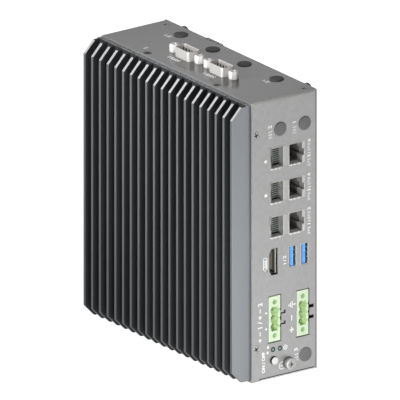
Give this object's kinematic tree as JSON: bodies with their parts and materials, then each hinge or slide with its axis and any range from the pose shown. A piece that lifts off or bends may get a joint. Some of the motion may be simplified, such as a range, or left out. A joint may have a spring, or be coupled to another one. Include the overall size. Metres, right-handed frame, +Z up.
{
  "type": "fanless industrial pc",
  "caption": "Book-size fanless industrial computer: folded sheet housing with a finned heat sink on one side, network, video, data and power sockets on its panel and serial ports on top.",
  "frame": {"origin": "middle of the base, under the centre of the housing, on the plane it stands on", "axes": "+Z up, -Y out of the socket panel, -X out of the finned heat sink, +X out of the side cover"},
  "size_m": [0.062, 0.154, 0.1778],
  "materials": {
    "sink_metal": "dark anodised, matt",
    "shell_grey": "fine matt powder coat",
    "cover_grey": "fine matt powder coat",
    "plate_grey": "fine matt powder coat",
    "screw_zinc": "bright zinc plate",
    "nut_steel": "zinc plate",
    "plug_plastic": "matt moulded",
    "contact_gold": "plated spring wire",
    "nickel": "bright nickel plate",
    "jack_can": "tin plate",
    "black_plastic": "matt moulded",
    "tongue_brown": "matt moulded",
    "tongue_blue": "matt moulded",
    "header_green": "satin moulded",
    "pin_tin": "tin plate",
    "light_lens": "clear tinted",
    "button_white": "satin moulded",
    "board_green": "solder resist",
    "copper_block": "machined",
    "pad_grey": "soft pad",
    "chip_black": "moulded package",
    "cell_steel": "bright"
  },
  "bodies": {
    "case": {"antenna_plugs": "plug_plastic", "board_screws": "screw_zinc", "bottom_plate": "plate_grey", "bracket_nuts": "nut_steel", "capacitors": "cell_steel", "cell_holder": "black_plastic", "coils": "chip_black", "coin_cell": "cell_steel", "cover_screws": "screw_zinc", "data_board": "board_green", "data_riser": "black_plastic", "data_shell_1": "nickel", "data_shell_2": "nickel", "data_spacer": "black_plastic", "data_tongue_1": "tongue_blue", "data_tongue_2": "tongue_blue", "earth_nut": "nut_steel", "earth_screw": "screw_zinc", "earth_washer": "nut_steel", "folded_shell": "shell_grey", "heat_sink": "sink_metal", "inlet_nuts": "nut_steel", "inlet_pins": "pin_tin", "light_carrier": "black_plastic", "main_board": "board_green", "memory_module": "board_green", "memory_socket": "black_plastic", "network_contacts": "contact_gold", "network_insert_1": "black_plastic", "network_insert_2": "black_plastic", "network_insert_3": "black_plastic", "network_shield_1": "jack_can", "network_shield_2": "jack_can", "network_shield_3": "jack_can", "power_board": "board_green", "power_inlet_1": "header_green", "power_inlet_2": "header_green", "power_riser": "black_plastic", "power_switch": "black_plastic", "processor": "chip_black", "serial_insert_1": "black_plastic", "serial_insert_2": "black_plastic", "serial_pins": "contact_gold", "serial_posts": "nickel", "serial_shell_1": "nickel", "serial_shell_2": "nickel", "side_cover": "cover_grey", "sink_screws": "screw_zinc", "spreader_block": "copper_block", "standoffs": "nut_steel", "status_lights": "light_lens", "storage_module": "board_green", "storage_post": "nut_steel", "storage_socket": "black_plastic", "tab_screws": "screw_zinc", "thermal_pad": "pad_grey", "video_shell": "nickel", "video_tongue": "tongue_brown"},
    "button": {"power_button": "button_white"}
  },
  "joints": [
    {"name": "button_press", "type": "slide", "parent": "case", "child": "button", "axis": [0, 1, 0], "range_m": [0, 0.0008], "stiffness_N_per_m": 900, "springref_m": -0.0006}
  ]
}
